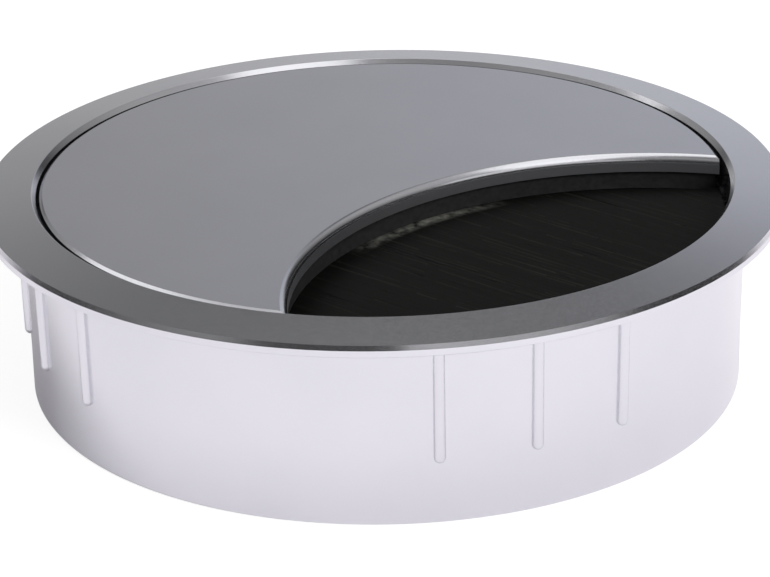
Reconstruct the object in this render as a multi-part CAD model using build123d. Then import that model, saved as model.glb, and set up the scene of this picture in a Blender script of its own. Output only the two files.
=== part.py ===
from build123d import *

import math
import os

# Desk cable grommet: a cast ring that drops into a round hole in a desk top, a crescent lid that lies in
# the ring, and a brush under the lid that closes the lens-shaped cable outlet.
# Millimetres and degrees. The origin is the centre of the flange's underside, which rests on the desk,
# with +Z up out of the desk and the sleeve below. Depths are measured down from that seat.

# Flats that ease the rim
edge_flats = 3

# Desk hole and sleeve
hole_dia = 80.0
sleeve_clearance = 0.45
sleeve_draft = 0.25
sleeve_wall = 1.7
sleeve_depth = 20.6
sleeve_end_chamfer = 0.4

# Flange
flange_overlap = 3.75
rim_height = 1.25
flange_rise = 0.78
rim_easing = 0.6
rim_foot_chamfer = 0.2
lip_chamfer_width = 0.45
lip_chamfer_depth = 0.9

# Crush ribs on the sleeve
rib_bite = 0.15
rib_width = 1.25
rib_length = 13.8
rib_tip_width = 0.4
rib_groups = 4
ribs_in_group = 3
rib_pitch_angle = 15.0
first_group_angle = -67.5

# Ledge in the sleeve that carries the lid
ledge_gap = 0.3
ledge_width = 1.8
ledge_thickness = 1.2

# Crescent lid
lid_clearance = 0.4
lid_sink = 0.3
lid_thickness = 1.95
lid_edge_slope = 37.0
lid_chamfer_depth = 0.42
skirt_wall = 1.5
skirt_gap = 0.3

# Cable outlet, an arc cut out of the lid
outlet_angle = -49.6
outlet_radius = 37.4
outlet_offset = 5.15
outlet_chamfer_depth = 0.6

# Brush holder under the lid, along the outlet's arc
holder_setback = 0.4
holder_width = 4.0
holder_floor = 1.2
holder_end_gap = 0.3
holder_foot_chamfer = 0.4
slot_drop = 2.1
slot_height = 1.9
slot_depth = 2.6

# Pegs and rail that hold the brush holder
peg_count = 3
peg_dia = 2.4
peg_length = 1.4
peg_clearance = 0.05
peg_hole_room = 0.2
peg_spacing = 18.0
rail_gap = 0.1
rail_wall = 1.2
rail_height = 3.0

# Bristle field
tuft_pitch = 1.8
tuft_bulge = 0.25
bristle_lean = 8.0
bristle_tip_gap = 0.3
root_fit = 0.05

# Sizes worked out from the ones above
hole_radius = hole_dia / 2
sleeve_top_radius = hole_radius - sleeve_clearance
pilot_radius = sleeve_top_radius - sleeve_draft
recess_radius = sleeve_top_radius - sleeve_wall
bore_radius = pilot_radius - sleeve_wall
flange_radius = hole_radius + flange_overlap
lip_radius = recess_radius + lip_chamfer_width
lip_height = rim_height + flange_rise
pilot_depth = rib_length + rib_width
sleeve_lean = math.degrees(math.atan2(sleeve_draft, pilot_depth))
ledge_radius = recess_radius - ledge_width

lid_radius = recess_radius - lid_clearance
lid_top = lip_height - lid_sink
lid_underside = lid_top - lid_thickness
lid_top_radius = lid_radius - lid_chamfer_depth / math.tan(math.radians(lid_edge_slope))
skirt_radius = lid_radius - skirt_wall
outlet_distance = outlet_radius + outlet_offset

holder_front_radius = outlet_radius + holder_setback
holder_back_radius = holder_front_radius + holder_width
holder_end_radius = lid_radius - holder_end_gap
slot_top = lid_underside - slot_drop
slot_foot = slot_top - slot_height
holder_foot = slot_foot - holder_floor
peg_circle_radius = holder_front_radius + holder_width / 2
rail_radius = holder_back_radius + rail_gap
skirt_start_radius = rail_radius + rail_wall + skirt_gap
ledge_top = holder_foot - ledge_gap
bristle_tip_radius = recess_radius - bristle_tip_gap

OUTLET = Location((outlet_distance, 0, 0))
TURN = Rotation(0, 0, outlet_angle)


def disc(radius: float, low: float, high: float) -> Part:
    """Upright cylinder on the Z axis between two heights."""
    return Pos(0, 0, low) * extrude(Circle(radius), high - low)


def band(inner: float, outer: float, low: float, high: float) -> Part:
    """Tube round the outlet's own axis between two heights."""
    return OUTLET * extrude(Pos(0, 0, low) * (Circle(outer) - Circle(inner)), high - low)


def eased(start: Vector, corner: Vector, end: Vector) -> Curve:
    """Run of short flats that eases a corner, from a point on one side to a point on the other."""
    curve = Bezier(start, corner, end)
    return Polyline(*[curve @ (step / edge_flats) for step in range(edge_flats + 1)])


def half_section(corners: list[tuple[float, float, float]]) -> Sketch:
    """Closed half section from its corners: a radius, a height and the length eased off both sides."""
    points = [Vector(radius, height) for radius, height, _ in corners]
    easings = [easing for _, _, easing in corners]
    starts = []
    ends = []
    for index, (point, easing) in enumerate(zip(points, easings)):
        after = points[(index + 1) % len(points)]
        starts.append(point + (points[index - 1] - point).normalized() * easing)
        ends.append(point + (after - point).normalized() * easing)
    outline = Curve()
    for index, (point, easing) in enumerate(zip(points, easings)):
        outline += Line(ends[index - 1], starts[index])
        if easing > 0:
            outline += eased(starts[index], point, ends[index])
    return make_face(Plane.XZ * outline)


def ring_body() -> Part:
    """Flange, sleeve and lid ledge, turned in one piece."""
    ledge_foot = ledge_top - ledge_thickness
    section = half_section([
        (recess_radius, lip_height - lip_chamfer_depth, 0),
        (lip_radius, lip_height, 0),
        (flange_radius, rim_height, rim_easing),
        (flange_radius, rim_foot_chamfer, 0),
        (flange_radius - rim_foot_chamfer, 0, 0),
        (sleeve_top_radius, 0, 0),
        (pilot_radius, -pilot_depth, 0),
        (pilot_radius, sleeve_end_chamfer - sleeve_depth, 0),
        (pilot_radius - sleeve_end_chamfer, -sleeve_depth, 0),
        (bore_radius, -sleeve_depth, 0),
        (bore_radius, ledge_foot - ledge_width, 0),
        (ledge_radius, ledge_foot, 0),
        (ledge_radius, ledge_top, 0),
        (recess_radius, ledge_top, 0),
    ])
    return revolve(section, Axis.Z)


def crush_rib() -> Part:
    """Half-round rib down the sleeve at angle zero, with a tapered foot.

    Its head is buried in the flange, its back is buried in the sleeve's wall, and it leans with the draft.
    """
    radius = rib_width / 2
    head = rim_height / 2
    taper = radius - rib_tip_width / 2
    outline = Polyline(
        (0, -rib_length),
        (rib_tip_width / 2, -rib_length),
        (radius, taper - rib_length),
        (radius, head),
        (0, head),
        close=True,
    )
    crest = Location((hole_radius + rib_bite, 0, 0), (0, sleeve_lean, 0))
    return crest * Pos(-radius, 0, 0) * revolve(make_face(Plane.XZ * outline), Axis.Z)


def ring() -> Part:
    """Cast ring with its groups of crush ribs."""
    body = ring_body()
    rib = crush_rib()
    group_arc = rib_pitch_angle * (ribs_in_group - 1)
    for group in range(rib_groups):
        group_angle = first_group_angle + group * 360 / rib_groups
        for index in range(ribs_in_group):
            angle = group_angle - group_arc / 2 + index * rib_pitch_angle
            body += Rotation(0, 0, angle) * rib
    return body


def outlet_cutter() -> Part:
    """Plug that cuts the outlet, flared so that the lid's cut edge is chamfered on top."""
    foot = ledge_top - lid_thickness
    head = lid_top + lid_thickness
    flare_foot = lid_top - outlet_chamfer_depth
    flare_radius = outlet_radius + (head - flare_foot) / math.tan(math.radians(lid_edge_slope))
    outline = Polyline(
        (0, foot),
        (outlet_radius, foot),
        (outlet_radius, flare_foot),
        (flare_radius, head),
        (0, head),
        close=True,
    )
    return OUTLET * revolve(make_face(Plane.XZ * outline), Axis.Z)


def peg_places() -> list[Location]:
    """Places of the pegs along the middle of the brush holder."""
    first = 180 - peg_spacing * (peg_count - 1) / 2
    return [
        OUTLET * Rotation(0, 0, first + index * peg_spacing) * Pos(peg_circle_radius, 0, lid_underside)
        for index in range(peg_count)
    ]


def lid() -> Part:
    """Crescent plate with a chamfered edge, a skirt that stands on the ledge, a back rail and pegs."""
    section = half_section([
        (0, lid_top, 0),
        (lid_top_radius, lid_top, 0),
        (lid_radius, lid_top - lid_chamfer_depth, 0),
        (lid_radius, ledge_top, 0),
        (skirt_radius, ledge_top, 0),
        (skirt_radius, lid_underside, 0),
        (0, lid_underside, 0),
    ])
    body = revolve(section, Axis.Z)
    body -= OUTLET * disc(skirt_start_radius, ledge_top, lid_underside)
    rail_foot = lid_underside - rail_height
    rail = band(rail_radius, rail_radius + rail_wall, rail_foot, lid_underside)
    body += rail & disc(holder_end_radius, rail_foot, lid_underside)
    for place in peg_places():
        body += place * Cylinder(peg_dia / 2, peg_length, align=(Align.CENTER, Align.CENTER, Align.MAX))
    body -= outlet_cutter()
    return TURN * body


def brush_holder() -> Part:
    """Moulded strip along the outlet's arc, with a slot for the bristle roots and holes for the pegs."""
    body = band(holder_front_radius, holder_back_radius, holder_foot, lid_underside)
    body &= disc(holder_end_radius, holder_foot, lid_underside)
    foot_edges = body.faces().sort_by(Axis.Z)[0].edges()
    body = chamfer(foot_edges, holder_foot_chamfer)
    body -= OUTLET * disc(holder_front_radius + slot_depth, slot_foot, slot_top)
    hole_depth = peg_length + peg_hole_room
    for place in peg_places():
        body -= place * Cylinder(peg_dia / 2 + peg_clearance, hole_depth,
                                 align=(Align.CENTER, Align.CENTER, Align.MAX))
    return TURN * body


def tuft_sheet() -> Part:
    """Sheet of parallel tufts along the X axis, scalloped above and below, one scallop a tuft."""
    lean = math.radians(bristle_lean)
    end_x = (holder_end_radius**2 + outlet_distance**2 - holder_front_radius**2) / (2 * outlet_distance)
    end_y = math.sqrt(holder_end_radius**2 - end_x**2)
    low_side = -end_x * math.sin(lean) - end_y * math.cos(lean)
    high_side = -end_x * math.sin(lean) + end_y * math.cos(lean)
    count = math.floor((high_side - low_side) / tuft_pitch)
    first = (low_side + high_side - count * tuft_pitch) / 2
    stops = [first + index * tuft_pitch for index in range(count + 1)]
    top = slot_top - root_fit - tuft_bulge
    foot = slot_foot + root_fit + tuft_bulge
    lines = Line((stops[0], foot), (stops[0], top)) + Line((stops[-1], top), (stops[-1], foot))
    for start, end in zip(stops, stops[1:]):
        lines += SagittaArc((start, top), (end, top), tuft_bulge)
        lines += SagittaArc((end, foot), (start, foot), tuft_bulge)
    section = make_face(Plane.YZ * lines)
    return extrude(section, recess_radius, both=True)


def bristles() -> Part:
    """Bristle field: tufts trimmed to the ring's inside, and their roots fused into one strip."""
    root_low = slot_foot + root_fit
    root_high = slot_top - root_fit
    root_back = holder_front_radius + slot_depth - root_fit
    root = band(holder_front_radius, root_back, root_low, root_high)
    root &= disc(holder_end_radius, root_low, root_high)
    field = Rotation(0, 0, bristle_lean) * tuft_sheet()
    field &= OUTLET * disc((holder_front_radius + root_back) / 2, root_low, root_high)
    field &= disc(bristle_tip_radius, root_low, root_high)
    return TURN * (root + field)


if __name__ == "__main__":
    os.makedirs("parts", exist_ok=True)
    nodes = {"ring": ring(), "lid": lid(), "brush_holder": brush_holder(), "bristles": bristles()}
    for name, solid in nodes.items():
        export_step(solid, f"parts/{name}.step")
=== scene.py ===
"""Studio scene of a desk cable grommet: satin nickel ring and crescent lid with a black brush.

Lengths are in metres and angles in degrees. The desk top lies at height zero, and the camera is on -Y.
"""

import logging
import math
import random
from collections.abc import Callable
from dataclasses import dataclass, field
from enum import Enum

import bpy
from mathutils import Matrix, Vector


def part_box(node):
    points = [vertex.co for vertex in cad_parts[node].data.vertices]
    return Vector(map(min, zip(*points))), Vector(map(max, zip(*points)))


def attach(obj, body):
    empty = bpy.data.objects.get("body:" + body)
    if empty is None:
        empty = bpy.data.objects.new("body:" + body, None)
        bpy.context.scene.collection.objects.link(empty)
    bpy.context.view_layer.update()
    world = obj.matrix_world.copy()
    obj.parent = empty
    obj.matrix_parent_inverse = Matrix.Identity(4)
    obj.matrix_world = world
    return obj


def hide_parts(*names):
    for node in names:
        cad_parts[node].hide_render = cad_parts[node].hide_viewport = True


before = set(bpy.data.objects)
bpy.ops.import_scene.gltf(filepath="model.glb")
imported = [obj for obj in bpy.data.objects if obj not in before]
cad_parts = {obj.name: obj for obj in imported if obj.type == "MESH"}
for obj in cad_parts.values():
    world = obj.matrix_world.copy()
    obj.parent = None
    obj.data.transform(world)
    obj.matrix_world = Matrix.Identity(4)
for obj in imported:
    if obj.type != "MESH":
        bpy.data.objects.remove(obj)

log = logging.getLogger("grommet")

MM = 0.001

# Places nearer than TOUCH count as one place, and corners nearer than MERGE become one corner.
TOUCH = 0.004 * MM
MERGE = TOUCH / 4

# Bevel profile of a true arc.
ARC = 0.5

# Levels that a noise seldom leaves, and the weight of its finer layers.
NOISE_LOW = 0.3
NOISE_HIGH = 0.7
NOISE_ROUGHNESS = 0.6

# Sockets of the mix node by number, since their names repeat for each kind of data.
NUMBER_A, NUMBER_B, NUMBER_OUT = 2, 3, 0
COLOUR_A, COLOUR_B, COLOUR_OUT = 6, 7, 2

Point = tuple[float, float]
Colour = tuple[float, float, float, float]
Stops = tuple[tuple[float, Colour], ...]


class Cut(Enum):
    """Ways in which one solid shapes another."""

    TAKE_AWAY = "DIFFERENCE"
    KEEP_SHARED = "INTERSECT"


class Picked(Enum):
    """What a selection inside a mesh is made of, as Blender's flags for corners, edges and faces."""

    CORNERS = (True, False, False)
    EDGES = (False, True, False)


class Slot(Enum):
    """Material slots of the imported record."""

    NICKEL = "satin_nickel"
    PLASTIC = "holder_plastic"
    NYLON = "bristle_nylon"


def grey(level: float) -> Colour:
    """Gives an opaque grey of a linear level."""
    return (level, level, level, 1.0)


def greys(*stops: Point) -> Stops:
    """Gives the grey stops of a ramp from pairs of place and linear level."""
    return tuple((place, grey(level)) for place, level in stops)


class Bench:
    """Modelling steps that the pieces share."""

    @staticmethod
    def clear() -> None:
        """Leaves edit mode and deselects every object, so that the next step acts on one piece."""
        if bpy.context.object and bpy.context.object.mode != "OBJECT":
            bpy.ops.object.mode_set(mode="OBJECT")
        bpy.ops.object.select_all(action="DESELECT")

    @staticmethod
    def pick(*pieces: bpy.types.Object) -> None:
        """Selects pieces alone.

        Args:
            pieces: pieces to select, of which the first one becomes active.
        """
        Bench.clear()
        for piece in pieces:
            piece.select_set(True)
        bpy.context.view_layer.objects.active = pieces[0]

    @staticmethod
    def open_selection(piece: bpy.types.Object, picked: Picked) -> None:
        """Empties the selection inside a piece, so that its mesh can be marked for an edit.

        Args:
            piece: piece that is edited next.
            picked: what the next selection is made of.
        """
        Bench.pick(piece)
        bpy.context.tool_settings.mesh_select_mode = picked.value
        bpy.ops.object.mode_set(mode="EDIT")
        bpy.ops.mesh.select_all(action="DESELECT")
        bpy.ops.object.mode_set(mode="OBJECT")

    @staticmethod
    def heal() -> None:
        """Merges doubles, points the faces of the piece in edit mode outwards and leaves edit mode."""
        bpy.ops.mesh.select_all(action="SELECT")
        bpy.ops.mesh.remove_doubles(threshold=MERGE)
        bpy.ops.mesh.normals_make_consistent(inside=False)
        bpy.ops.object.mode_set(mode="OBJECT")

    @staticmethod
    def turn(name: str, profile: list[Point], sides: int, axis: Vector, solid: bool) -> bpy.types.Object:
        """Turns a profile about an upright axis by extruding a circle from corner to corner.

        Args:
            name: name of the new object.
            profile: radius and height of each corner, in order round the section.
            sides: sides of the circle.
            axis: point that the upright axis passes through.
            solid: True for a capped solid, False for a tube whose profile closes on itself.

        Returns:
            The turned object, with its place in its mesh.
        """
        Bench.clear()
        radius, height = profile[0]
        bpy.ops.mesh.primitive_circle_add(
            vertices=sides,
            radius=radius,
            fill_type="NGON" if solid else "NOTHING",
            location=(axis.x, axis.y, height),
        )
        piece = bpy.context.object
        piece.name = name
        bpy.ops.object.transform_apply(location=True, rotation=True, scale=True)
        bpy.ops.object.mode_set(mode="EDIT")
        bpy.ops.mesh.select_all(action="SELECT")
        corners = profile[1:] if solid else [*profile[1:], profile[0]]
        for next_radius, next_height in corners:
            lift = {"value": (0.0, 0.0, next_height - height)}
            if solid:
                bpy.ops.mesh.extrude_region_move(TRANSFORM_OT_translate=lift)
            else:
                bpy.ops.mesh.extrude_edges_move(TRANSFORM_OT_translate=lift)
            ratio = next_radius / radius
            centre = (axis.x, axis.y, next_height)
            bpy.ops.transform.resize(value=(ratio, ratio, 1.0), center_override=centre)
            radius, height = next_radius, next_height
        Bench.heal()
        return piece

    @staticmethod
    def round_edges(
        piece: bpy.types.Object, chosen: Callable[[Vector], bool], reach: float, steps: int
    ) -> None:
        """Rounds the edges of a piece whose two ends both pass a test.

        Args:
            piece: piece to round.
            chosen: test of a corner's place.
            reach: length that the round takes off both sides of the edge.
            steps: faces across the round.
        """
        Bench.open_selection(piece, Picked.EDGES)
        mesh = piece.data
        passed = [chosen(corner.co) for corner in mesh.vertices]
        for edge in mesh.edges:
            edge.select = all(passed[end] for end in edge.vertices)
        bpy.ops.object.mode_set(mode="EDIT")
        bpy.ops.mesh.bevel(
            offset=reach, segments=steps, profile=ARC, affect="EDGES", clamp_overlap=False
        )
        Bench.heal()

    @staticmethod
    def cut(piece: bpy.types.Object, cutter: bpy.types.Object, way: Cut) -> None:
        """Shapes a piece with a cutter, and removes the cutter.

        Args:
            piece: piece to shape.
            cutter: solid that shapes it.
            way: what becomes of the volume that both fill.
        """
        Bench.pick(piece)
        modifier = piece.modifiers.new("cut", "BOOLEAN")
        modifier.operation = way.value
        modifier.solver = "EXACT"
        modifier.object = cutter
        bpy.ops.object.modifier_apply(modifier=modifier.name)
        bpy.data.objects.remove(cutter)

    @staticmethod
    def join(body: bpy.types.Object, parts: list[bpy.types.Object]) -> None:
        """Makes closed parts that are sunk into a body one object with it."""
        Bench.pick(body, *parts)
        bpy.ops.object.join()

    @staticmethod
    def smooth(piece: bpy.types.Object, angle: float) -> None:
        """Shades a piece smooth across gentle edges, and leaves its wide faces flat.

        Args:
            piece: piece to shade.
            angle: edges that bend less than this many degrees are smooth.
        """
        Bench.pick(piece)
        bpy.ops.object.shade_smooth_by_angle(angle=math.radians(angle))
        modifier = piece.modifiers.new("wide_faces", "WEIGHTED_NORMAL")
        modifier.keep_sharp = True
        bpy.ops.object.modifier_apply(modifier=modifier.name)


def on_circle(radius: float, height: float, axis: Vector) -> Callable[[Vector], bool]:
    """Makes a test for corners on a level circle.

    Args:
        radius: radius of the circle.
        height: height of the circle.
        axis: point that the circle's upright axis passes through.

    Returns:
        A test that is true for a place on the circle.
    """

    def test(place: Vector) -> bool:
        """Tells whether a place lies on the circle."""
        off_axis = math.hypot(place.x - axis.x, place.y - axis.y)
        return abs(off_axis - radius) < TOUCH and abs(place.z - height) < TOUCH

    return test


class Graph:
    """Node tree that is filled node by node."""

    def __init__(self, tree: bpy.types.NodeTree) -> None:
        """Starts from an empty tree."""
        self.tree = tree
        tree.nodes.clear()

    def add(
        self, kind: str, values: dict[str | int, object] | None = None, **settings: object
    ) -> bpy.types.Node:
        """Adds a node.

        Args:
            kind: type name of the node.
            values: values of its unlinked inputs, by name or number.
            settings: properties of the node.

        Returns:
            The new node.
        """
        node = self.tree.nodes.new(kind)
        for name, value in settings.items():
            setattr(node, name, value)
        for key, value in (values or {}).items():
            node.inputs[key].default_value = value
        return node

    def link(self, source: bpy.types.NodeSocket, target: bpy.types.NodeSocket) -> None:
        """Links an output to an input."""
        self.tree.links.new(source, target)

    def noise(self, place: bpy.types.NodeSocket, size: float, detail: float) -> bpy.types.NodeSocket:
        """Adds a noise.

        Args:
            place: coordinates that the noise is read at.
            size: width of its largest grains in metres.
            detail: how many finer layers it has.

        Returns:
            Output that runs from 0 to 1.
        """
        values = {"Scale": 1.0 / size, "Detail": detail, "Roughness": NOISE_ROUGHNESS}
        node = self.add("ShaderNodeTexNoise", values)
        self.link(place, node.inputs["Vector"])
        return node.outputs["Fac"]

    def spread(self, level: bpy.types.NodeSocket, low: float, high: float) -> bpy.types.NodeSocket:
        """Adds a map from the usual levels of a noise to a range of numbers.

        Args:
            level: output of the noise.
            low: number that stands for a low level.
            high: number that stands for a high level.

        Returns:
            Output that stays within the range.
        """
        values = {"From Min": NOISE_LOW, "From Max": NOISE_HIGH, "To Min": low, "To Max": high}
        node = self.add("ShaderNodeMapRange", values, clamp=True)
        self.link(level, node.inputs["Value"])
        return node.outputs["Result"]

    def ramp(self, level: bpy.types.NodeSocket, stops: Stops) -> bpy.types.NodeSocket:
        """Adds a colour ramp.

        Args:
            level: number that the ramp is read at.
            stops: place and colour of each stop, in order.

        Returns:
            Colour output.
        """
        node = self.add("ShaderNodeValToRGB")
        elements = node.color_ramp.elements
        for place, colour in stops[len(elements) :]:
            elements.new(place).color = colour
        for element, (place, colour) in zip(elements, stops):
            element.position = place
            element.color = colour
        self.link(level, node.inputs["Fac"])
        return node.outputs["Color"]

    def blend(
        self,
        level: bpy.types.NodeSocket,
        ends: Point,
        low: bpy.types.NodeSocket,
        high: bpy.types.NodeSocket,
    ) -> bpy.types.NodeSocket:
        """Adds a soft change from one colour to another.

        Args:
            level: number that the change follows.
            ends: numbers at which the change starts and is complete.
            low: colour before the change.
            high: colour after the change.

        Returns:
            Colour output.
        """
        values = {"From Min": ends[0], "From Max": ends[1]}
        share = self.add("ShaderNodeMapRange", values, clamp=True, interpolation_type="SMOOTHSTEP")
        self.link(level, share.inputs["Value"])
        mix = self.add("ShaderNodeMix", data_type="RGBA")
        self.link(share.outputs["Result"], mix.inputs["Factor"])
        self.link(low, mix.inputs[COLOUR_A])
        self.link(high, mix.inputs[COLOUR_B])
        return mix.outputs[COLOUR_OUT]

    def either(
        self, share: bpy.types.NodeSocket, first: bpy.types.NodeSocket, second: bpy.types.NodeSocket
    ) -> bpy.types.NodeSocket:
        """Adds a mix of two shaders.

        Args:
            share: share of the second shader.
            first: shader at a share of 0.
            second: shader at a share of 1.

        Returns:
            Shader output.
        """
        mix = self.add("ShaderNodeMixShader")
        for source, target in zip((share, first, second), mix.inputs):
            self.link(source, target)
        return mix.outputs["Shader"]

    def raise_grain(
        self, surface: bpy.types.Node, grain: bpy.types.NodeSocket, strength: float, height: float
    ) -> None:
        """Adds a bump to a surface.

        Args:
            surface: shader that the grain is raised on.
            grain: level of the grain.
            strength: share of the bump that shows.
            height: height of its peaks in metres.
        """
        bump = self.add("ShaderNodeBump", {"Strength": strength, "Distance": height})
        self.link(grain, bump.inputs["Height"])
        self.link(bump.outputs["Normal"], surface.inputs["Normal"])

    def show(self, shader: bpy.types.NodeSocket, kind: str = "ShaderNodeOutputMaterial") -> None:
        """Makes a shader the output of the tree."""
        self.link(shader, self.add(kind).inputs["Surface"])


def new_material(name: str) -> tuple[bpy.types.Material, Graph]:
    """Makes a material.

    Args:
        name: name of the material.

    Returns:
        The material, and its node tree to fill.
    """
    material = bpy.data.materials.new(name)
    material.use_nodes = True
    return material, Graph(material.node_tree)


def dress(piece: bpy.types.Object, material: bpy.types.Material) -> None:
    """Gives a piece one material all over."""
    piece.data.materials.clear()
    piece.data.materials.append(material)


@dataclass(frozen=True)
class SatinNickel:
    """Plated and satin-finished casting: even grey metal with a fine grain."""

    tint: Colour = (0.715, 0.715, 0.75, 1.0)
    shade: Colour = (0.685, 0.688, 0.722, 1.0)
    patch_size: float = 14 * MM
    patch_detail: float = 4.0
    grain_size: float = 0.35 * MM
    grain_detail: float = 3.0
    grain_strength: float = 0.25
    grain_height: float = 0.004 * MM
    smoothest: float = 0.16
    roughest: float = 0.22
    cut_roughness: float = 0.5
    cut_name: str = "cut"

    def material(self) -> bpy.types.Material:
        """Builds the finish.

        Returns:
            Material on object coordinates, rougher where the mesh is marked as cut.
        """
        material, graph = new_material(Slot.NICKEL.value)
        place = graph.add("ShaderNodeTexCoord").outputs["Object"]
        surface = graph.add("ShaderNodeBsdfPrincipled", {"Metallic": 1.0})
        patches = graph.noise(place, self.patch_size, self.patch_detail)
        grain = graph.noise(place, self.grain_size, self.grain_detail)
        tones = ((NOISE_LOW, self.shade), (NOISE_HIGH, self.tint))
        graph.link(graph.ramp(patches, tones), surface.inputs["Base Color"])
        rough = graph.add("ShaderNodeMix", {NUMBER_B: self.cut_roughness}, data_type="FLOAT")
        cut = graph.add("ShaderNodeAttribute", attribute_name=self.cut_name).outputs["Fac"]
        graph.link(cut, rough.inputs["Factor"])
        graph.link(graph.spread(grain, self.smoothest, self.roughest), rough.inputs[NUMBER_A])
        graph.link(rough.outputs[NUMBER_OUT], surface.inputs["Roughness"])
        graph.raise_grain(surface, grain, self.grain_strength, self.grain_height)
        graph.show(surface.outputs["BSDF"])
        return material


@dataclass(frozen=True)
class HolderPlastic:
    """Black moulded plastic with a fine eroded grain."""

    dark: Colour = (0.010, 0.010, 0.010, 1.0)
    light: Colour = (0.018, 0.018, 0.018, 1.0)
    dark_level: float = 0.35
    light_level: float = 0.65
    grain_size: float = 0.5 * MM
    grain_detail: float = 4.0
    grain_strength: float = 0.4
    grain_height: float = 0.02 * MM
    smoothest: float = 0.48
    roughest: float = 0.62
    shine: float = 0.4

    def material(self) -> bpy.types.Material:
        """Builds the finish.

        Returns:
            Material on object coordinates.
        """
        material, graph = new_material(Slot.PLASTIC.value)
        place = graph.add("ShaderNodeTexCoord").outputs["Object"]
        surface = graph.add("ShaderNodeBsdfPrincipled", {"Specular IOR Level": self.shine})
        grain = graph.noise(place, self.grain_size, self.grain_detail)
        tones = ((self.dark_level, self.dark), (self.light_level, self.light))
        graph.link(graph.ramp(grain, tones), surface.inputs["Base Color"])
        graph.link(graph.spread(grain, self.smoothest, self.roughest), surface.inputs["Roughness"])
        graph.raise_grain(surface, grain, self.grain_strength, self.grain_height)
        graph.show(surface.outputs["BSDF"])
        return material


@dataclass(frozen=True)
class BristleNylon:
    """Black nylon filaments, a few of them dusty, with pale painted highlights just out of the holder.
    """

    black: Colour = (0.0022, 0.0023, 0.0020, 1.0)
    plain: Colour = (0.0034, 0.0035, 0.0031, 1.0)
    dusty: Colour = (0.014, 0.014, 0.012, 1.0)
    # Colour of the painted highlight on the filaments just out of the holder.
    painted_highlight: Colour = (0.17, 0.168, 0.152, 1.0)
    plain_tone: float = 0.93
    patch_size: float = 1.3 * MM
    patch_detail: float = 3.0
    shine: float = 0.2
    roughness: float = 0.5
    tone_name: str = "tone"
    highlight_name: str = "highlight"

    def material(self) -> bpy.types.Material:
        """Builds the finish.

        Returns:
            Material on the filaments' own tone, with a painted highlight in pale patches near their
            roots.
        """
        material, graph = new_material(Slot.NYLON.value)
        place = graph.add("ShaderNodeTexCoord").outputs["Object"]
        shine = {"Specular IOR Level": self.shine, "Roughness": self.roughness}
        surface = graph.add("ShaderNodeBsdfPrincipled", shine)
        tone = graph.add("ShaderNodeAttribute", attribute_name=self.tone_name).outputs["Fac"]
        highlight = graph.add("ShaderNodeAttribute", attribute_name=self.highlight_name).outputs["Fac"]
        tones = ((0.0, self.black), (self.plain_tone, self.plain), (1.0, self.dusty))
        filament = graph.ramp(tone, tones)
        patches = graph.spread(graph.noise(place, self.patch_size, self.patch_detail), 0.0, 1.0)
        share = graph.add("ShaderNodeMath", operation="MULTIPLY")
        graph.link(highlight, share.inputs[0])
        graph.link(patches, share.inputs[1])
        # Painted highlight: pale patches where the filaments catch light just past the lid's shadow.
        mix = graph.add("ShaderNodeMix", {COLOUR_B: self.painted_highlight}, data_type="RGBA")
        graph.link(share.outputs["Value"], mix.inputs["Factor"])
        graph.link(filament, mix.inputs[COLOUR_A])
        graph.link(mix.outputs[COLOUR_OUT], surface.inputs["Base Color"])
        graph.show(surface.outputs["BSDF"])
        return material


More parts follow.
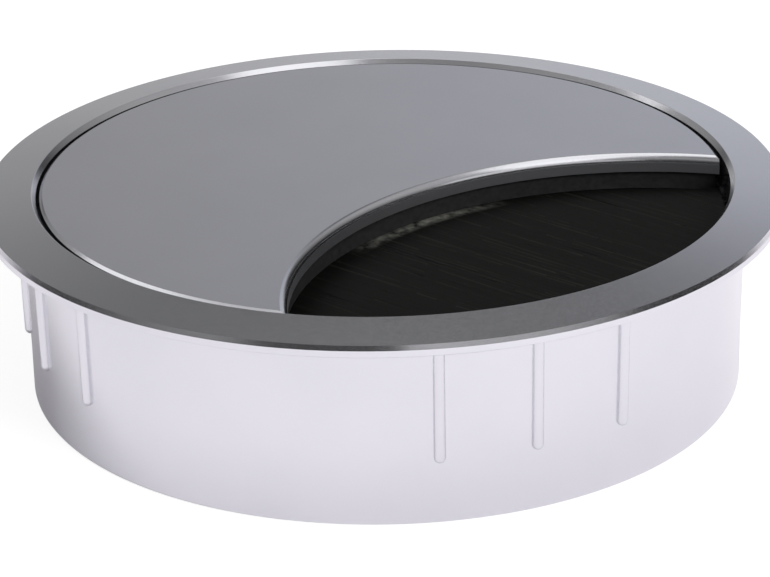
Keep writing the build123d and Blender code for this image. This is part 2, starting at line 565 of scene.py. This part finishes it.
@dataclass
class SleeveRing:
    """Cast ring: conical flange with a chamfered lip, drafted sleeve with crush ribs, and lid ledge."""

    flange_radius: float
    sleeve_depth: float
    lip_height: float = 2.03 * MM
    rim_height: float = 1.25 * MM
    lip_chamfer_width: float = 0.45 * MM
    lip_chamfer_depth: float = 0.52 * MM
    lip_round: float = 0.05 * MM
    lip_round_steps: int = 3
    rim_draft_width: float = 0.21 * MM
    rim_draft_depth: float = 0.5 * MM
    rim_foot_round: float = 0.2 * MM
    rim_foot_steps: int = 5
    sleeve_top_radius: float = 39.55 * MM
    pilot_radius: float = 39.3 * MM
    pilot_depth: float = 15.05 * MM
    sleeve_wall: float = 1.7 * MM
    sleeve_end_round: float = 0.4 * MM
    sleeve_end_steps: int = 4
    ledge_top: float = -5.72 * MM
    ledge_thickness: float = 1.2 * MM
    ledge_width: float = 1.8 * MM
    rib_crest_radius: float = 40.15 * MM
    rib_width: float = 1.25 * MM
    rib_length: float = 13.8 * MM
    rib_angles: tuple[float, ...] = (-82.5, -67.5, -52.5)
    rib_groups: int = 4
    rib_sides: int = 24
    rib_foot_rings: int = 12
    sides: int = 256
    smooth_angle: float = 21.0
    axis: Vector = field(default_factory=Vector)

    @classmethod
    def from_frame(cls) -> "SleeveRing":
        """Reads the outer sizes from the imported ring."""
        low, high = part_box("ring")
        return cls(flange_radius=high.x, sleeve_depth=-low.z)

    @property
    def recess_radius(self) -> float:
        """Inner radius of the recess that the lid lies in."""
        return self.sleeve_top_radius - self.sleeve_wall

    @property
    def lip_radius(self) -> float:
        """Radius at which the flange meets the lip's chamfer."""
        return self.recess_radius + self.lip_chamfer_width

    def rib(self) -> bpy.types.Object:
        """Models one crush rib at angle zero, by drawing a ball out upwards.

        Returns:
            A rod with a ball foot, half sunk into the sleeve and leaning with its draft, whose head ends
            inside the flange.
        """
        radius = self.rib_width / 2
        foot = radius - self.rib_length
        head = self.rim_height / 2 - radius
        Bench.clear()
        bpy.ops.mesh.primitive_uv_sphere_add(
            segments=self.rib_sides, ring_count=self.rib_foot_rings, radius=radius
        )
        rib = bpy.context.object
        rib.name = "crush_rib"
        Bench.open_selection(rib, Picked.CORNERS)
        for corner in rib.data.vertices:
            corner.select = corner.co.z > TOUCH
        bpy.ops.object.mode_set(mode="EDIT")
        bpy.ops.transform.translate(value=(0.0, 0.0, head - foot))
        Bench.heal()
        lean = math.atan2(self.sleeve_top_radius - self.pilot_radius, self.pilot_depth)
        crest = Matrix.Translation((self.rib_crest_radius, 0.0, 0.0))
        leaning = Matrix.Rotation(lean, 4, "Y")
        rib.data.transform(crest @ leaning @ Matrix.Translation((-radius, 0.0, foot)))
        return rib

    def ribs(self) -> list[bpy.types.Object]:
        """Models all the crush ribs.

        Returns:
            The ribs, in groups round the sleeve.
        """
        first = self.rib()
        ribs = []
        for group in range(self.rib_groups):
            for angle in self.rib_angles:
                Bench.pick(first)
                bpy.ops.object.duplicate()
                rib = bpy.context.object
                turned = math.radians(angle + group * 360.0 / self.rib_groups)
                rib.data.transform(Matrix.Rotation(turned, 4, "Z"))
                ribs.append(rib)
        bpy.data.objects.remove(first)
        return ribs

    def build(self, finish: bpy.types.Material) -> bpy.types.Object:
        """Turns the ring, sets its ribs into the sleeve and dresses it.

        Args:
            finish: material of the ring.

        Returns:
            The ring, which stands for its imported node.
        """
        ledge_foot = self.ledge_top - self.ledge_thickness
        ledge_radius = self.recess_radius - self.ledge_width
        bore_radius = self.pilot_radius - self.sleeve_wall
        foot = -self.sleeve_depth
        fall = (self.lip_height - self.rim_height) / (self.flange_radius - self.lip_radius)
        shoulder_radius = self.flange_radius - self.rim_draft_width
        shoulder_height = self.rim_height + self.rim_draft_width * fall
        profile = [
            (self.recess_radius, self.lip_height - self.lip_chamfer_depth),
            (self.lip_radius, self.lip_height),
            (shoulder_radius, shoulder_height),
            (self.flange_radius, shoulder_height - self.rim_draft_depth),
            (self.flange_radius, 0.0),
            (self.sleeve_top_radius, 0.0),
            (self.pilot_radius, -self.pilot_depth),
            (self.pilot_radius, foot),
            (bore_radius, foot),
            (bore_radius, ledge_foot - self.ledge_width),
            (ledge_radius, ledge_foot),
            (ledge_radius, self.ledge_top),
            (self.recess_radius, self.ledge_top),
        ]
        ring = Bench.turn("sleeve_ring", profile, self.sides, self.axis, solid=False)
        rounds = [
            (self.lip_radius, self.lip_height, self.lip_round, self.lip_round_steps),
            (self.flange_radius, 0.0, self.rim_foot_round, self.rim_foot_steps),
            (self.pilot_radius, foot, self.sleeve_end_round, self.sleeve_end_steps),
            (bore_radius, foot, self.sleeve_end_round, self.sleeve_end_steps),
        ]
        for radius, height, reach, steps in rounds:
            Bench.round_edges(ring, on_circle(radius, height, self.axis), reach, steps)
        Bench.join(ring, self.ribs())
        Bench.smooth(ring, self.smooth_angle)
        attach(ring, "root")
        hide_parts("ring")
        dress(ring, finish)
        return ring


@dataclass
class CrescentLid:
    """Flush lid on a skirt, with a lens-shaped cable outlet and the rail and pegs of the brush."""

    ring: SleeveRing
    clearance: float = 0.4 * MM
    top: float = 1.73 * MM
    thickness: float = 1.95 * MM
    edge_slope: float = 37.0
    edge_chamfer_depth: float = 0.25 * MM
    skirt_wall: float = 1.5 * MM
    outlet_angle: float = -49.6
    outlet_radius: float = 37.4 * MM
    outlet_offset: float = 5.15 * MM
    outlet_round: float = 1.0 * MM
    outlet_round_start: float = 15.0
    outlet_round_steps: int = 10
    rail_radius: float = 41.9 * MM
    rail_wall: float = 1.2 * MM
    rail_height: float = 3.0 * MM
    skirt_gap: float = 0.3 * MM
    rail_end_gap: float = 0.3 * MM
    peg_circle_radius: float = 39.8 * MM
    peg_radius: float = 1.2 * MM
    peg_length: float = 1.4 * MM
    peg_end_round: float = 0.24 * MM
    peg_end_steps: int = 2
    peg_angles: tuple[float, ...] = (-18.0, 0.0, 18.0)
    peg_sides: int = 36
    sunk: float = 0.4 * MM
    sides: int = 256
    smooth_angle: float = 12.0
    upright_limit: float = 0.2

    @property
    def radius(self) -> float:
        """Outer radius of the lid."""
        return self.ring.recess_radius - self.clearance

    @property
    def underside(self) -> float:
        """Height of the plate's underside."""
        return self.top - self.thickness

    @property
    def outlet_axis(self) -> Vector:
        """Works out the middle of the outlet's arc.

        Returns:
            Point that the outlet's upright axis passes through.
        """
        turned = math.radians(self.outlet_angle)
        distance = self.outlet_radius + self.outlet_offset
        return Vector((distance * math.cos(turned), distance * math.sin(turned), 0.0))

    def outlet_plug(self) -> bpy.types.Object:
        """Models the plug that cuts the outlet.

        Returns:
            The plug, whose rounded brim leaves a crisp-topped round on the cut edge.
        """
        below = self.ring.ledge_top - self.thickness
        start = math.radians(self.outlet_round_start)
        brim = self.top + self.outlet_round * (1.0 - math.cos(start))
        brim_radius = self.outlet_radius + 2 * self.thickness
        profile = [
            (self.outlet_radius, below),
            (self.outlet_radius, brim),
            (brim_radius, brim),
            (brim_radius, brim + self.thickness),
        ]
        plug = Bench.turn("outlet_plug", profile, self.sides, self.outlet_axis, solid=True)
        corner = on_circle(self.outlet_radius, brim, self.outlet_axis)
        Bench.round_edges(plug, corner, self.outlet_round, self.outlet_round_steps)
        return plug

    def mark_cut(self, mesh: bpy.types.Mesh) -> None:
        """Marks the upright face of the cut, which is left as cast.

        Args:
            mesh: mesh of the cut lid.
        """
        reach = self.outlet_radius + TOUCH
        axis = self.outlet_axis.to_2d()
        marks = []
        for face in mesh.polygons:
            upright = abs(face.normal.z) < self.upright_limit
            marks.append(float(upright and (face.center.to_2d() - axis).length < reach))
        attribute = mesh.attributes.new(SatinNickel().cut_name, "FLOAT", "FACE")
        attribute.data.foreach_set("value", marks)

    def rail(self) -> bpy.types.Object:
        """Models the rail that backs the brush holder.

        Returns:
            A curved wall that is sunk into the plate.
        """
        outer = self.rail_radius + self.rail_wall
        foot = self.underside - self.rail_height
        head = self.underside + self.sunk
        profile = [(self.rail_radius, head), (outer, head), (outer, foot), (self.rail_radius, foot)]
        rail = Bench.turn("brush_rail", profile, self.sides, self.outlet_axis, solid=False)
        reach = self.radius - self.rail_end_gap
        disc = [(reach, foot - self.thickness), (reach, head + self.thickness)]
        ends = Bench.turn("rail_ends", disc, self.sides, self.ring.axis, solid=True)
        Bench.cut(rail, ends, Cut.KEEP_SHARED)
        return rail

    def peg(self, angle: float) -> bpy.types.Object:
        """Models one peg for the brush holder.

        Args:
            angle: place of the peg round the outlet, from its middle, in degrees.

        Returns:
            A short round peg with an eased end, sunk into the plate.
        """
        turned = math.radians(self.outlet_angle + 180.0 + angle)
        spoke = Vector((math.cos(turned), math.sin(turned), 0.0))
        place = self.outlet_axis + spoke * self.peg_circle_radius
        foot = self.underside - self.peg_length
        profile = [(self.peg_radius, self.underside + self.sunk), (self.peg_radius, foot)]
        peg = Bench.turn("brush_peg", profile, self.peg_sides, place, solid=True)
        end = on_circle(self.peg_radius, foot, place)
        Bench.round_edges(peg, end, self.peg_end_round, self.peg_end_steps)
        return peg

    def build(self, finish: bpy.types.Material) -> bpy.types.Object:
        """Models the lid and dresses it.

        Args:
            finish: material of the lid.

        Returns:
            The lid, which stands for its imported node.
        """
        ledge_top = self.ring.ledge_top
        skirt_radius = self.radius - self.skirt_wall
        chamfer_width = self.edge_chamfer_depth / math.tan(math.radians(self.edge_slope))
        profile = [
            (self.radius - chamfer_width, self.top),
            (self.radius, self.top - self.edge_chamfer_depth),
            (self.radius, ledge_top),
            (skirt_radius, ledge_top),
            (skirt_radius, self.underside),
        ]
        lid = Bench.turn("crescent_lid", profile, self.sides, self.ring.axis, solid=True)
        skirt_start = self.rail_radius + self.rail_wall + self.skirt_gap
        disc = [(skirt_start, ledge_top - self.thickness), (skirt_start, self.underside)]
        relief = Bench.turn("skirt_relief", disc, self.sides, self.outlet_axis, solid=True)
        Bench.cut(lid, relief, Cut.TAKE_AWAY)
        Bench.cut(lid, self.outlet_plug(), Cut.TAKE_AWAY)
        self.mark_cut(lid.data)
        Bench.join(lid, [self.rail(), *[self.peg(angle) for angle in self.peg_angles]])
        Bench.smooth(lid, self.smooth_angle)
        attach(lid, "root")
        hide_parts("lid")
        dress(lid, finish)
        return lid


class BrushHolder:
    """Moulded strip along the outlet that holds the bristles, kept as it is packed."""

    def build(self, finish: bpy.types.Material) -> bpy.types.Object:
        """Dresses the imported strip.

        Args:
            finish: material of the strip.

        Returns:
            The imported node.
        """
        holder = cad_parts["brush_holder"]
        dress(holder, finish)
        return holder


@dataclass(frozen=True)
class Filament:
    """One bristle: its points from root to tip, its tone, and the share of painted highlight at each
    point.
    """

    points: list[Vector]
    tone: float
    highlights: list[float]


@dataclass
class BristleField:
    """Field of nylon filaments that leave the holder in parallel and end just short of the ring."""

    lid: CrescentLid
    count: int = 5600
    filament_radius: float = 0.1 * MM
    filament_sides: int = 4
    lean: float = 8.0
    root_setback: float = 0.4 * MM
    root_depth: float = 1.2 * MM
    # Where the painted highlight along each filament starts and fades, where along the holder it peaks,
    # and how far it reaches.
    highlight_start: float = 0.7 * MM
    highlight_start_limit: float = 0.3
    highlight_length: float = 1.1 * MM
    highlight_end_limit: float = 0.6
    highlight_middle: float = -0.02
    highlight_reach: float = 0.3
    tip_gap: float = 0.2 * MM
    tip_unevenness: float = 0.5 * MM
    holder_end_gap: float = 0.3 * MM
    top: float = -2.37 * MM
    foot: float = -4.17 * MM
    top_crowding: int = 2
    bow: float = 0.2 * MM
    drift: float = 0.3 * MM
    fan: float = 1.2
    splay: float = 40.0
    splay_power: int = 24
    stray_height: float = 2.0 * MM
    smooth_angle: float = 60.0
    seed: int = 11

    def reach(self, start: Vector, heading: Vector) -> float:
        """Gives the distance from a point to the ring's wall.

        Args:
            start: point in plan.
            heading: unit direction in plan.

        Returns:
            Distance to the circle that the tips end on.
        """
        limit = self.lid.ring.recess_radius - self.tip_gap
        along = start.dot(heading)
        return -along + math.sqrt(max(along * along - start.length_squared + limit * limit, 0.0))

    def filament(self, start: Vector, heading: Vector, side: float, chance: random.Random) -> Filament:
        """Lays one filament.

        Args:
            start: root of the filament in plan.
            heading: unit direction of the filament in plan.
            side: place of the root along the holder, from -1 to 1.
            chance: source of its length, bow, height and tone.

        Returns:
            The filament, from its root to its tip.
        """
        length = self.reach(start, heading) - chance.uniform(0.0, self.tip_unevenness)
        across = Vector((-heading.y, heading.x)) * chance.gauss(0.0, self.bow)
        low = self.foot + self.filament_radius
        high = self.top - self.filament_radius + self.stray_height * abs(side) ** self.splay_power
        height = high - (high - low) * chance.random() ** self.top_crowding
        drift = chance.uniform(-self.drift, self.drift)
        out = min(self.root_depth + self.highlight_start, length * self.highlight_start_limit)
        faded = min(out + self.highlight_length, length * self.highlight_end_limit)
        points = []
        for run in (0.0, out, faded, (faded + length) / 2, length):
            share = run / length
            # The bow is a parabola of full height half-way along.
            plan = start + heading * run + across * (4 * share * (1 - share))
            points.append(Vector((plan.x, plan.y, min(max(height + drift * share, low), high))))
        # Share of painted highlight, strongest near the middle of the holder and set only at the point
        # just out of it.
        highlight = max(0.0, 1.0 - ((side - self.highlight_middle) / self.highlight_reach) ** 2)
        return Filament(points, chance.random(), [0.0, highlight, 0.0, 0.0, 0.0])

    def filaments(self) -> list[Filament]:
        """Lays out the filaments along the holder.

        Returns:
            The filaments, in no order.
        """
        chance = random.Random(self.seed)
        axis = self.lid.outlet_axis.to_2d()
        front = self.lid.outlet_radius + self.root_setback
        end_radius = self.lid.radius - self.holder_end_gap
        distance = axis.length
        half = math.acos((distance**2 + front**2 - end_radius**2) / (2 * distance * front))
        middle = math.radians(self.lid.outlet_angle + 180.0)
        laid = []
        while len(laid) < self.count:
            side = chance.uniform(-1.0, 1.0)
            turned = middle + half * side
            spoke = Vector((math.cos(turned), math.sin(turned)))
            end = abs(side) ** self.splay_power
            bend = chance.gauss(0.0, self.fan) - math.copysign(self.splay * end, side)
            angle = math.radians(self.lid.outlet_angle + self.lean + bend)
            heading = Vector((math.cos(angle), math.sin(angle)))
            if chance.random() < abs(spoke.dot(heading)):
                start = axis + spoke * (front + self.root_depth * (1.0 - end))
                laid.append(self.filament(start, heading, side, chance))
        return laid

    def mark(self, mesh: bpy.types.Mesh, laid: list[Filament]) -> None:
        """Writes each filament's tone and the painted highlight near its root into the mesh.

        Args:
            mesh: mesh of all the filaments, in their order.
            laid: the filaments.
        """
        finish = BristleNylon()
        around = len(mesh.vertices) // sum(len(filament.points) for filament in laid)
        tones = []
        highlights = []
        for filament in laid:
            for highlight in filament.highlights:
                tones += [filament.tone] * around
                highlights += [highlight] * around
        for name, values in ((finish.tone_name, tones), (finish.highlight_name, highlights)):
            attribute = mesh.attributes.new(name, "FLOAT", "POINT")
            attribute.data.foreach_set("value", values)

    def build(self, finish: bpy.types.Material) -> bpy.types.Object:
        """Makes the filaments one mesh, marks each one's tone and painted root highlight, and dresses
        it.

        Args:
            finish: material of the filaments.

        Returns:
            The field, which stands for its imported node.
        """
        curve = bpy.data.curves.new("bristle_field", "CURVE")
        curve.dimensions = "3D"
        curve.bevel_depth = self.filament_radius
        # A round bevel has four sides, and two more for each step of its resolution.
        curve.bevel_resolution = (self.filament_sides - 4) // 2
        laid = self.filaments()
        for filament in laid:
            spline = curve.splines.new("POLY")
            spline.points.add(len(filament.points) - 1)
            for target, point in zip(spline.points, filament.points):
                target.co = (*point, 1.0)
        piece = bpy.data.objects.new("bristle_field", curve)
        bpy.context.scene.collection.objects.link(piece)
        Bench.pick(piece)
        bpy.ops.object.convert(target="MESH")
        piece = bpy.context.object
        self.mark(piece.data, laid)
        bpy.ops.object.mode_set(mode="EDIT")
        bpy.ops.mesh.select_all(action="SELECT")
        bpy.ops.mesh.fill_holes(sides=self.filament_sides)
        bpy.ops.mesh.normals_make_consistent(inside=False)
        bpy.ops.object.mode_set(mode="OBJECT")
        Bench.smooth(piece, self.smooth_angle)
        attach(piece, "root")
        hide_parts("bristles")
        dress(piece, finish)
        return piece


# Upper part of the back wall, from the sine of the height at which its dark band begins.
WALL_TOP = greys((0.60, 0.14), (0.68, 0.17), (0.78, 0.36), (1.0, 0.36))


@dataclass(frozen=True)
class RoomLight:
    """World light: a bright back wall in a dim room, which is plain white to the camera.

    Each part of the room is a ramp by the sine of the height above the horizon. The parts change into
    each other between two values of the direction's X or Y.
    """

    wall_left: Stops = (*greys((0.0, 0.50), (0.09, 0.44), (0.34, 0.33), (0.42, 0.29)), *WALL_TOP)
    wall_right: Stops = (
        (0.0, (0.60, 0.61, 0.64, 1.0)),
        (0.09, (0.58, 0.59, 0.63, 1.0)),
        (0.34, (0.51, 0.52, 0.57, 1.0)),
        (0.42, (0.42, 0.43, 0.47, 1.0)),
        *WALL_TOP,
    )
    room_left: Stops = greys(
        (0.0, 0.03), (0.15, 0.05), (0.25, 0.25), (0.36, 0.30), (0.76, 0.32), (1.0, 0.18)
    )
    room_right: Stops = greys(
        (0.0, 0.02), (0.20, 0.03), (0.32, 0.18), (0.65, 0.42), (0.85, 0.42), (1.0, 0.25)
    )
    behind_camera: Stops = greys((0.0, 0.03), (0.42, 0.07), (0.55, 0.22), (1.0, 0.22))
    wall_turn: Point = (-0.2, 0.2)
    wall_edge: Point = (0.33, 0.5)
    wall_start: Point = (0.1, 0.5)
    room_turn: Point = (-0.3, 0.3)
    camera_side_end: Point = (-0.82, -0.65)

    def build(self) -> None:
        """Gives the room's light to the scene."""
        world = bpy.data.worlds.new("studio")
        world.use_nodes = True
        bpy.context.scene.world = world
        graph = Graph(world.node_tree)
        parts = graph.add("ShaderNodeSeparateXYZ")
        graph.link(graph.add("ShaderNodeTexCoord").outputs["Generated"], parts.inputs["Vector"])
        right, ahead, height = (parts.outputs[name] for name in ("X", "Y", "Z"))
        across = graph.add("ShaderNodeMath", operation="ABSOLUTE")
        graph.link(right, across.inputs[0])
        wall_left, wall_right = graph.ramp(height, self.wall_left), graph.ramp(height, self.wall_right)
        room_left, room_right = graph.ramp(height, self.room_left), graph.ramp(height, self.room_right)
        behind = graph.ramp(height, self.behind_camera)
        wall = graph.blend(right, self.wall_turn, wall_left, wall_right)
        room = graph.blend(right, self.room_turn, room_left, room_right)
        dark = graph.blend(ahead, self.camera_side_end, behind, room)
        back = graph.blend(across.outputs["Value"], self.wall_edge, wall, dark)
        light = graph.add("ShaderNodeBackground")
        graph.link(graph.blend(ahead, self.wall_start, dark, back), light.inputs["Color"])
        white = graph.add("ShaderNodeBackground", {"Color": grey(1.0)})
        seen = graph.add("ShaderNodeLightPath").outputs["Is Camera Ray"]
        shader = graph.either(seen, light.outputs["Background"], white.outputs["Background"])
        graph.show(shader, "ShaderNodeOutputWorld")


@dataclass(frozen=True)
class SoftPanel:
    """Rectangular light that faces down, and is tipped up towards +Y and turned about the upright."""

    name: str
    place: tuple[float, float, float]
    size: Point
    power: float
    tip: float = 0.0
    turn: float = 0.0
    mirrored: bool = True

    def build(self) -> None:
        """Hangs the panel, which metal shows only if it is mirrored."""
        lamp = bpy.data.lights.new(self.name, "AREA")
        lamp.shape = "RECTANGLE"
        lamp.size, lamp.size_y = self.size
        lamp.energy = self.power
        panel = bpy.data.objects.new(self.name, lamp)
        bpy.context.scene.collection.objects.link(panel)
        panel.location = self.place
        panel.rotation_euler = (math.radians(self.tip), 0.0, math.radians(self.turn))
        panel.visible_glossy = self.mirrored


@dataclass(frozen=True)
class Studio:
    """Pale floor, the room's light and four soft panels."""

    floor_height: float
    floor_size: float = 6.0
    floor_colour: Colour = (0.91, 0.88, 0.92, 1.0)
    white_strength: float = 1.12
    camera_glow: float = 0.8
    metal_glow: float = 0.05
    room: RoomLight = RoomLight()
    panels: tuple[SoftPanel, ...] = (
        SoftPanel("overhead_panel", (0.33, -0.2, 1.0), (0.6, 1.9), power=3.2, turn=26.0),
        SoftPanel("front_panel", (0.54, -0.72, 0.44), (1.15, 0.33), power=0.6, tip=64.0, turn=37.0),
        SoftPanel("left_panel", (-0.68, 0.54, 1.0), (1.5, 0.75), power=3.0, turn=-32.0),
        SoftPanel(
            "key_panel", (0.45, -0.55, 0.6), (0.4, 0.4), power=8.2, tip=50.0, turn=39.0, mirrored=False
        ),
    )

    def floor(self) -> None:
        """Lays the floor: near white to the camera, a little lifted in metal, shaded by the object."""
        Bench.clear()
        place = (0.0, 0.0, self.floor_height)
        bpy.ops.mesh.primitive_plane_add(size=self.floor_size, location=place)
        floor = bpy.context.object
        floor.name = "floor"
        material, graph = new_material("pale_floor")
        path = graph.add("ShaderNodeLightPath")
        share = graph.add("ShaderNodeMath", operation="MAXIMUM")
        rays = (("Is Camera Ray", self.camera_glow), ("Is Glossy Ray", self.metal_glow))
        for target, (ray, glow) in zip(share.inputs, rays):
            seen = graph.add("ShaderNodeMath", {1: glow}, operation="MULTIPLY")
            graph.link(path.outputs[ray], seen.inputs[0])
            graph.link(seen.outputs["Value"], target)
        matt = graph.add("ShaderNodeBsdfDiffuse", {"Color": self.floor_colour})
        white = graph.add("ShaderNodeEmission", {"Color": grey(1.0), "Strength": self.white_strength})
        graph.show(graph.either(share.outputs["Value"], matt.outputs["BSDF"], white.outputs["Emission"]))
        dress(floor, material)

    def build(self) -> None:
        """Sets up the floor, the room's light and the panels."""
        self.floor()
        self.room.build()
        for panel in self.panels:
            panel.build()


@dataclass(frozen=True)
class PhotoCamera:
    """Camera at the photograph's place: level but for a slight roll, looking down at the grommet."""

    place: tuple[float, float, float] = (0.0, -322.9 * MM, 128.5 * MM)
    pitch: float = 23.45
    roll: float = -1.17
    focal_pixels: float = 3169.0
    image_width: float = 770.0
    sensor_width: float = 36.0
    near_limit: float = 10 * MM

    def build(self) -> None:
        """Makes the camera and gives it to the scene."""
        lens = bpy.data.cameras.new("photo_camera")
        lens.sensor_fit = "HORIZONTAL"
        lens.sensor_width = self.sensor_width
        lens.lens = self.focal_pixels / self.image_width * self.sensor_width
        lens.clip_start = self.near_limit
        camera = bpy.data.objects.new("photo_camera", lens)
        bpy.context.scene.collection.objects.link(camera)
        look = Matrix.Rotation(math.radians(90.0 - self.pitch), 4, "X")
        roll = Matrix.Rotation(math.radians(self.roll), 4, "Z")
        camera.matrix_world = Matrix.Translation(self.place) @ look @ roll
        bpy.context.scene.camera = camera


def report(piece: bpy.types.Object) -> None:
    """Logs a finished piece's name and triangle count."""
    piece.data.calc_loop_triangles()
    log.info("%s: %d triangles", piece.name, len(piece.data.loop_triangles))


def main() -> None:
    """Builds the grommet, its finishes, the studio and the camera."""
    logging.basicConfig(level=logging.INFO, format="%(name)s %(message)s")
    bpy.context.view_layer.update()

    nickel = SatinNickel().material()
    ring = SleeveRing.from_frame()
    lid = CrescentLid(ring)
    report(ring.build(nickel))
    report(lid.build(nickel))
    report(BrushHolder().build(HolderPlastic().material()))
    report(BristleField(lid).build(BristleNylon().material()))

    Studio(floor_height=-ring.sleeve_depth).build()
    PhotoCamera().build()
    bpy.context.scene.view_settings.view_transform = "Standard"


if __name__ == "__main__":
    main()
